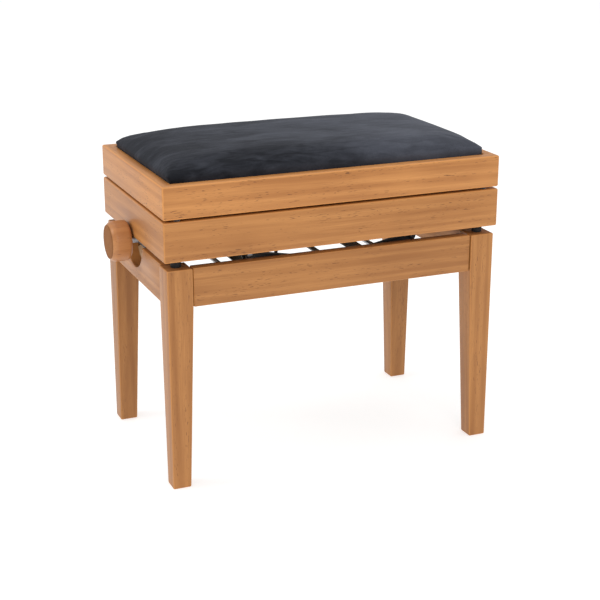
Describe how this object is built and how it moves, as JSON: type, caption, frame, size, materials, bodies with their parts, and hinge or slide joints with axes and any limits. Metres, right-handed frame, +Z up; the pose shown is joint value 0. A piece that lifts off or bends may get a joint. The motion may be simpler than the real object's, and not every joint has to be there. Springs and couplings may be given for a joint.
{
  "type": "piano bench",
  "caption": "Height-adjustable wooden piano bench with a padded velvet lid that opens over a music compartment, and a scissor lift worked by side knobs.",
  "frame": {"origin": "on the floor under the middle of the seat", "axes": "+X to the right along the bench's length, +Y to the back where the lid is hinged, +Z up; the player faces -Y"},
  "size_m": [0.627, 0.3324, 0.5065],
  "materials": {
    "satin_wood": "satin clear lacquer over an orange-brown stained hardwood",
    "turned_wood": "satin clear lacquer on a turned knob",
    "raw_wood": "planed, unfinished",
    "plywood": "sanded plywood",
    "velvet": "short-pile dark navy-charcoal velvet",
    "foam": "open-cell upholstery foam",
    "black_steel": "satin black powder coat",
    "bright_steel": "zinc plated",
    "brass": "brassed steel, satin",
    "felt": "dense dark felt",
    "rubber": "dull black rubber"
  },
  "bodies": {
    "leg_frame": {"leg_front_left": "satin_wood", "leg_front_right": "satin_wood", "leg_back_left": "satin_wood", "leg_back_right": "satin_wood", "apron_front": "satin_wood", "apron_back": "satin_wood", "apron_left": "satin_wood", "apron_right": "satin_wood", "corner_block_front_left": "raw_wood", "corner_block_front_right": "raw_wood", "corner_block_back_left": "raw_wood", "corner_block_back_right": "raw_wood", "lower_rail_front": "black_steel", "lower_rail_back": "black_steel", "lower_pivot_shaft": "bright_steel", "leg_buffer_front_left": "rubber", "leg_buffer_front_right": "rubber", "leg_buffer_back_left": "rubber", "leg_buffer_back_right": "rubber"},
    "outer_arms": {"outer_arm_front": "black_steel", "outer_arm_back": "black_steel", "outer_arm_brace": "black_steel", "centre_shaft": "black_steel"},
    "inner_arms": {"inner_arm_front": "black_steel", "inner_arm_back": "black_steel", "inner_arm_brace": "black_steel", "lower_slide_shaft": "bright_steel"},
    "nut": {"nut_bar": "bright_steel"},
    "music_box": {"box_front": "satin_wood", "box_back": "satin_wood", "box_left": "satin_wood", "box_right": "satin_wood", "box_floor": "plywood", "upper_rail_front": "black_steel", "upper_rail_back": "black_steel", "upper_pivot_bar": "black_steel", "spindle_bearing_left": "black_steel", "spindle_bearing_right": "black_steel", "bumper_left": "felt", "bumper_right": "felt", "hinge_leaf_box_left": "brass", "hinge_leaf_box_right": "brass", "hinge_pin_left": "brass", "hinge_pin_right": "brass", "stay_bracket_box": "bright_steel"},
    "spindle_and_knobs": {"spindle": "bright_steel", "knob_left": "turned_wood", "knob_right": "turned_wood"},
    "lid": {"lid_rail_front": "satin_wood", "lid_rail_back": "satin_wood", "lid_rail_left": "satin_wood", "lid_rail_right": "satin_wood", "seat_board": "plywood", "seat_foam": "foam", "seat_cover": "velvet", "hinge_leaf_lid_left": "brass", "hinge_leaf_lid_right": "brass", "stay_bracket_lid": "bright_steel"},
    "stay_lower_link": {"stay_link_box": "bright_steel"},
    "stay_upper_link": {"stay_link_lid": "bright_steel"}
  },
  "joints": [
    {"name": "lift_fold", "type": "hinge", "parent": "leg_frame", "child": "outer_arms", "pos_m": [0.14, 0, 0.301], "axis": [0, 1, 0], "range_deg": [0, 20.98]},
    {"name": "arm_crossing", "type": "hinge", "parent": "outer_arms", "child": "inner_arms", "pos_m": [0.0025, 0, 0.327], "axis": [0, 1, 0], "range_deg": [-42.45, 0.5]},
    {"name": "box_level", "type": "hinge", "parent": "inner_arms", "child": "music_box", "pos_m": [0.14, 0, 0.353], "axis": [0, 1, 0], "range_deg": [-0.5, 21.48]},
    {"name": "nut_level", "type": "hinge", "parent": "outer_arms", "child": "nut", "pos_m": [-0.135, 0, 0.353], "axis": [0, 1, 0], "range_deg": [-21.48, 0.5]},
    {"name": "spindle_turn", "type": "hinge", "parent": "music_box", "child": "spindle_and_knobs", "pos_m": [0, 0.018, 0.353], "axis": [1, 0, 0], "range_deg": [-10, 2170]},
    {"name": "lid_hinge", "type": "hinge", "parent": "music_box", "child": "lid", "pos_m": [0, 0.1664, 0.42475], "axis": [-1, 0, 0], "range_deg": [0, 75]},
    {"name": "stay_lower_pivot", "type": "hinge", "parent": "music_box", "child": "stay_lower_link", "pos_m": [-0.249, 0.0764, 0.39475], "axis": [-1, 0, 0], "range_deg": [-0.5, 75.5]},
    {"name": "stay_elbow", "type": "hinge", "parent": "stay_lower_link", "child": "stay_upper_link", "pos_m": [-0.249, -0.0336, 0.40275], "axis": [-1, 0, 0], "range_deg": [-75.5, 0.5]}
  ],
  "couplings": [
    {"joint": "arm_crossing", "follows": "lift_fold", "ratio": -2},
    {"joint": "box_level", "follows": "lift_fold", "ratio": 1},
    {"joint": "nut_level", "follows": "lift_fold", "ratio": -1},
    {"joint": "spindle_turn", "follows": "lift_fold", "ratio": 102.97},
    {"joint": "stay_lower_pivot", "follows": "lid_hinge", "ratio": 1},
    {"joint": "stay_elbow", "follows": "lid_hinge", "ratio": -1}
  ]
}
